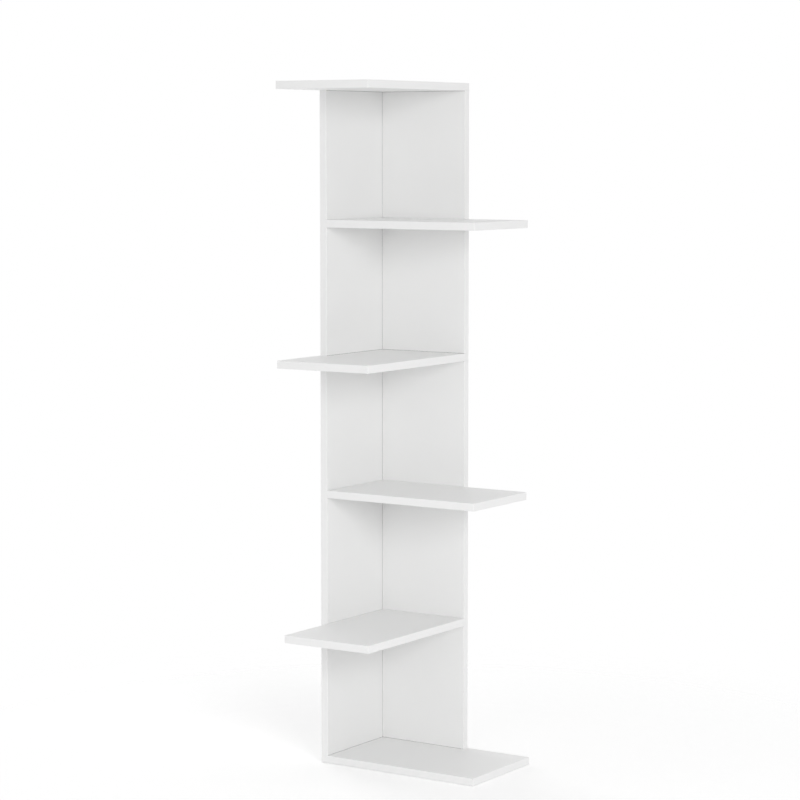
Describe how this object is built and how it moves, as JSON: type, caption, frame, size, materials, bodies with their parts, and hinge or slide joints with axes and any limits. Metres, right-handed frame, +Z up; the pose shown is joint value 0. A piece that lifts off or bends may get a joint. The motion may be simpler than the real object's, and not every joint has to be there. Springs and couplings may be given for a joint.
{
  "type": "corner bookcase",
  "caption": "Tall open corner bookcase: white panels meet at a right angle and carry boards that project forwards and sideways by turns.",
  "frame": {"origin": "on the floor, under the middle of the square that holds the bookcase in plan", "axes": "+Z up, +Y towards the back wall, -X towards the left wall; the inner corner is at -X, +Y"},
  "size_m": [0.35, 0.35, 1.325],
  "materials": {
    "white_melamine_board": "satin",
    "white_edge_band": "satin",
    "zinc_die_casting": "satin",
    "zinc_plated_steel": "satin",
    "beech_dowel": "matte"
  },
  "bodies": {
    "root": {"top_board": "white_melamine_board", "second_shelf": "white_melamine_board", "through_shelf": "white_melamine_board", "fourth_shelf": "white_melamine_board", "fifth_shelf": "white_melamine_board", "base_board": "white_melamine_board", "upper_left_panel": "white_melamine_board", "upper_right_panel": "white_melamine_board", "lower_left_panel": "white_melamine_board", "lower_right_panel": "white_melamine_board", "top_board_edge_bands": "white_edge_band", "second_shelf_edge_bands": "white_edge_band", "through_shelf_edge_bands": "white_edge_band", "fourth_shelf_edge_bands": "white_edge_band", "fifth_shelf_edge_bands": "white_edge_band", "base_board_edge_bands": "white_edge_band", "upper_left_panel_edge_bands": "white_edge_band", "upper_right_panel_edge_bands": "white_edge_band", "lower_left_panel_edge_bands": "white_edge_band", "lower_right_panel_edge_bands": "white_edge_band", "cam_locks_under_top": "zinc_die_casting", "cam_locks_over_through_shelf": "zinc_die_casting", "cam_locks_under_through_shelf": "zinc_die_casting", "top_cam_bolts": "zinc_plated_steel", "through_cam_bolts": "zinc_plated_steel", "base_screws": "zinc_plated_steel", "second_shelf_screws": "zinc_plated_steel", "fourth_shelf_screws": "zinc_plated_steel", "fifth_shelf_screws": "zinc_plated_steel", "upper_corner_screws": "zinc_plated_steel", "lower_corner_screws": "zinc_plated_steel", "top_dowels": "beech_dowel", "through_dowels": "beech_dowel", "base_dowels": "beech_dowel"}
  },
  "joints": []
}
